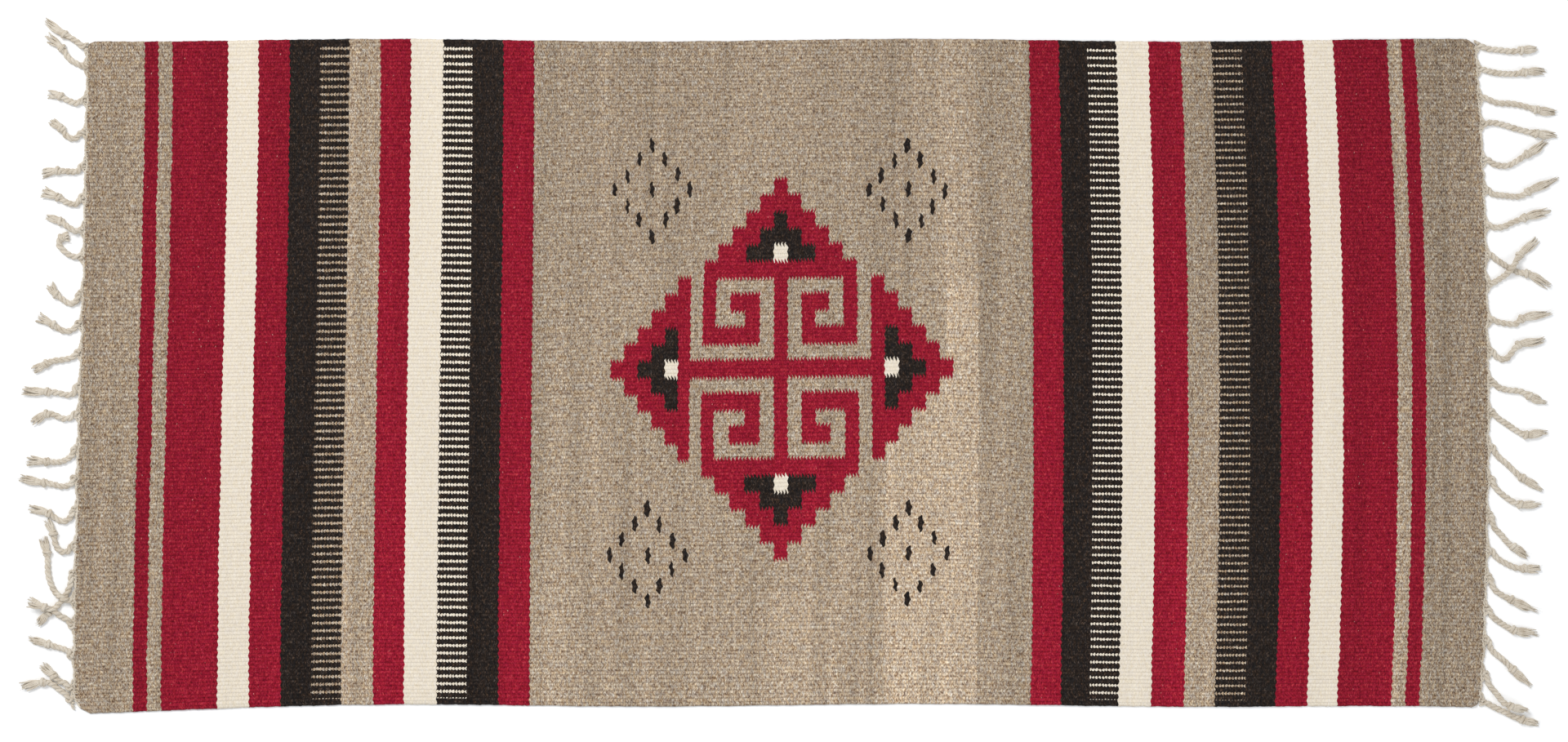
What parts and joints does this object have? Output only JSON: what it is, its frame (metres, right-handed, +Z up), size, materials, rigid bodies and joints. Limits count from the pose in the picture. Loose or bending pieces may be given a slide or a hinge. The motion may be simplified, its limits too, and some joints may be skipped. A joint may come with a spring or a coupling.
{
  "type": "runner rug",
  "caption": "Flat-woven wool runner rug in grey, red, black and cream with a stepped fret medallion and knotted warp tassels at both ends.",
  "frame": {"origin": "on the underside of the cloth, at the centre of the medallion, where the rug lies on the floor", "axes": "+X along the rug towards the end with the longer tassels, +Y across it, +Z up from the floor"},
  "size_m": [1.7619, 0.809, 0.0159],
  "materials": {
    "grey_wool": "handspun grey-brown melange wool, weft-faced plain weave",
    "red_wool": "dyed crimson wool, weft-faced plain weave",
    "black_wool": "natural black-brown wool, weft-faced plain weave",
    "ticked_wool": "black and cream picks woven alternately, so cream ticks run along the warp",
    "cream_wool": "natural cream wool, weft-faced plain weave",
    "warp_yarn": "plied undyed warp yarn, twisted and knotted, with cut ends"
  },
  "bodies": {
    "middle": {"grey_field": "grey_wool", "medallion_red_fret": "red_wool", "medallion_back_black_steps": "black_wool", "medallion_back_cream_square": "cream_wool", "medallion_front_black_steps": "black_wool", "medallion_front_cream_square": "cream_wool", "medallion_left_black_steps": "black_wool", "medallion_left_cream_square": "cream_wool", "medallion_right_black_steps": "black_wool", "medallion_right_cream_square": "cream_wool"},
    "left_end": {"left_border_red_band": "red_wool", "left_inner_black_band": "black_wool", "left_inner_ticked_band": "ticked_wool", "left_inner_cream_band": "cream_wool", "left_middle_red_band": "red_wool", "left_middle_grey_band": "grey_wool", "left_outer_ticked_band": "ticked_wool", "left_outer_black_band": "black_wool", "left_outer_red_band": "red_wool", "left_outer_cream_band": "cream_wool", "left_wide_red_band": "red_wool", "left_grey_pinstripe": "grey_wool", "left_red_pinstripe": "red_wool", "left_end_grey_band": "grey_wool"},
    "right_end": {"right_border_red_band": "red_wool", "right_inner_black_band": "black_wool", "right_inner_ticked_band": "ticked_wool", "right_inner_cream_band": "cream_wool", "right_middle_red_band": "red_wool", "right_middle_grey_band": "grey_wool", "right_outer_ticked_band": "ticked_wool", "right_outer_black_band": "black_wool", "right_outer_red_band": "red_wool", "right_outer_cream_band": "cream_wool", "right_wide_red_band": "red_wool", "right_grey_pinstripe": "grey_wool", "right_red_pinstripe": "red_wool", "right_end_grey_band": "grey_wool"},
    "left_fringe_01_to_02": {"left_tassels_01_to_02": "warp_yarn"},
    "left_fringe_03_to_04": {"left_tassels_03_to_04": "warp_yarn"},
    "left_fringe_05_to_06": {"left_tassels_05_to_06": "warp_yarn"},
    "left_fringe_07_to_08": {"left_tassels_07_to_08": "warp_yarn"},
    "left_fringe_09_to_10": {"left_tassels_09_to_10": "warp_yarn"},
    "left_fringe_11_to_12": {"left_tassels_11_to_12": "warp_yarn"},
    "left_fringe_13_to_14": {"left_tassels_13_to_14": "warp_yarn"},
    "left_fringe_15_to_17": {"left_tassels_15_to_17": "warp_yarn"},
    "left_fringe_18_to_20": {"left_tassels_18_to_20": "warp_yarn"},
    "left_fringe_21_to_23": {"left_tassels_21_to_23": "warp_yarn"},
    "right_fringe_01_to_03": {"right_tassels_01_to_03": "warp_yarn"},
    "right_fringe_04_to_05": {"right_tassels_04_to_05": "warp_yarn"},
    "right_fringe_06_to_07": {"right_tassels_06_to_07": "warp_yarn"},
    "right_fringe_08_to_09": {"right_tassels_08_to_09": "warp_yarn"},
    "right_fringe_10_to_11": {"right_tassels_10_to_11": "warp_yarn"},
    "right_fringe_12_to_13": {"right_tassels_12_to_13": "warp_yarn"},
    "right_fringe_14_to_15": {"right_tassels_14_to_15": "warp_yarn"},
    "right_fringe_16_to_17": {"right_tassels_16_to_17": "warp_yarn"},
    "right_fringe_18_to_20": {"right_tassels_18_to_20": "warp_yarn"},
    "right_fringe_21_to_22": {"right_tassels_21_to_22": "warp_yarn"}
  },
  "joints": [
    {"name": "left_end_fold", "type": "hinge", "parent": "middle", "child": "left_end", "pos_m": [-0.285, 0, 0.0052], "axis": [0, -1, 0], "range_deg": [-179, 0]},
    {"name": "right_end_fold", "type": "hinge", "parent": "middle", "child": "right_end", "pos_m": [0.2865, 0, 0.0128], "axis": [0, 1, 0], "range_deg": [-179, 0]},
    {"name": "left_fringe_01_to_02_lift", "type": "hinge", "parent": "left_end", "child": "left_fringe_01_to_02", "pos_m": [-0.79663, 0.36162, 0.0065], "axis": [0.0069, 1, 0], "range_deg": [0, 160]},
    {"name": "left_fringe_03_to_04_lift", "type": "hinge", "parent": "left_end", "child": "left_fringe_03_to_04", "pos_m": [-0.79733, 0.29512, 0.0065], "axis": [0.0136, 0.9999, 0], "range_deg": [0, 160]},
    {"name": "left_fringe_05_to_06_lift", "type": "hinge", "parent": "left_end", "child": "left_fringe_05_to_06", "pos_m": [-0.7986, 0.22012, 0.0065], "axis": [0.0202, 0.9998, 0], "range_deg": [0, 160]},
    {"name": "left_fringe_07_to_08_lift", "type": "hinge", "parent": "left_end", "child": "left_fringe_07_to_08", "pos_m": [-0.80023, 0.14812, 0.0065], "axis": [0.0251, 0.9997, 0], "range_deg": [0, 160]},
    {"name": "left_fringe_09_to_10_lift", "type": "hinge", "parent": "left_end", "child": "left_fringe_09_to_10", "pos_m": [-0.80221, 0.07412, 0.0065], "axis": [0.0282, 0.9996, 0], "range_deg": [0, 160]},
    {"name": "left_fringe_11_to_12_lift", "type": "hinge", "parent": "left_end", "child": "left_fringe_11_to_12", "pos_m": [-0.80422, 0.00447, 0.0065], "axis": [0.0291, 0.9996, 0], "range_deg": [0, 160]},
    {"name": "left_fringe_13_to_14_lift", "type": "hinge", "parent": "left_end", "child": "left_fringe_13_to_14", "pos_m": [-0.80627, -0.0674, 0.0065], "axis": [0.0279, 0.9996, 0], "range_deg": [0, 160]},
    {"name": "left_fringe_15_to_17_lift", "type": "hinge", "parent": "left_end", "child": "left_fringe_15_to_17", "pos_m": [-0.80871, -0.16157, 0.0065], "axis": [0.024, 0.9997, 0], "range_deg": [0, 160]},
    {"name": "left_fringe_18_to_20_lift", "type": "hinge", "parent": "left_end", "child": "left_fringe_18_to_20", "pos_m": [-0.81087, -0.26598, 0.0065], "axis": [0.0167, 0.9999, 0], "range_deg": [0, 160]},
    {"name": "left_fringe_21_to_23_lift", "type": "hinge", "parent": "left_end", "child": "left_fringe_21_to_23", "pos_m": [-0.81204, -0.35913, 0.0065], "axis": [0.0081, 1, 0], "range_deg": [0, 160]},
    {"name": "right_fringe_01_to_03_lift", "type": "hinge", "parent": "right_end", "child": "right_fringe_01_to_03", "pos_m": [0.79983, 0.3454, 0.0065], "axis": [0.0646, -0.9979, 0], "range_deg": [0, 160]},
    {"name": "right_fringe_04_to_05_lift", "type": "hinge", "parent": "right_end", "child": "right_fringe_04_to_05", "pos_m": [0.80455, 0.2649, 0.0065], "axis": [0.0514, -0.9987, 0], "range_deg": [0, 160]},
    {"name": "right_fringe_06_to_07_lift", "type": "hinge", "parent": "right_end", "child": "right_fringe_06_to_07", "pos_m": [0.80792, 0.1904, 0.0065], "axis": [0.0391, -0.9992, 0], "range_deg": [0, 160]},
    {"name": "right_fringe_08_to_09_lift", "type": "hinge", "parent": "right_end", "child": "right_fringe_08_to_09", "pos_m": [0.81031, 0.1189, 0.0065], "axis": [0.0273, -0.9996, 0], "range_deg": [0, 160]},
    {"name": "right_fringe_10_to_11_lift", "type": "hinge", "parent": "right_end", "child": "right_fringe_10_to_11", "pos_m": [0.81189, 0.0439, 0.0065], "axis": [0.0149, -0.9999, 0], "range_deg": [0, 160]},
    {"name": "right_fringe_12_to_13_lift", "type": "hinge", "parent": "right_end", "child": "right_fringe_12_to_13", "pos_m": [0.81253, -0.02639, 0.0065], "axis": [0.0033, -1, 0], "range_deg": [0, 160]},
    {"name": "right_fringe_14_to_15_lift", "type": "hinge", "parent": "right_end", "child": "right_fringe_14_to_15", "pos_m": [0.81232, -0.10167, 0.0065], "axis": [-0.0089, -1, 0], "range_deg": [0, 160]},
    {"name": "right_fringe_16_to_17_lift", "type": "hinge", "parent": "right_end", "child": "right_fringe_16_to_17", "pos_m": [0.81106, -0.18251, 0.0065], "axis": [-0.022, -0.9998, 0], "range_deg": [0, 160]},
    {"name": "right_fringe_18_to_20_lift", "type": "hinge", "parent": "right_end", "child": "right_fringe_18_to_20", "pos_m": [0.80849, -0.26891, 0.0065], "axis": [-0.036, -0.9994, 0], "range_deg": [0, 160]},
    {"name": "right_fringe_21_to_22_lift", "type": "hinge", "parent": "right_end", "child": "right_fringe_21_to_22", "pos_m": [0.80458, -0.36086, 0.0065], "axis": [-0.0508, -0.9987, 0], "range_deg": [0, 160]}
  ]
}
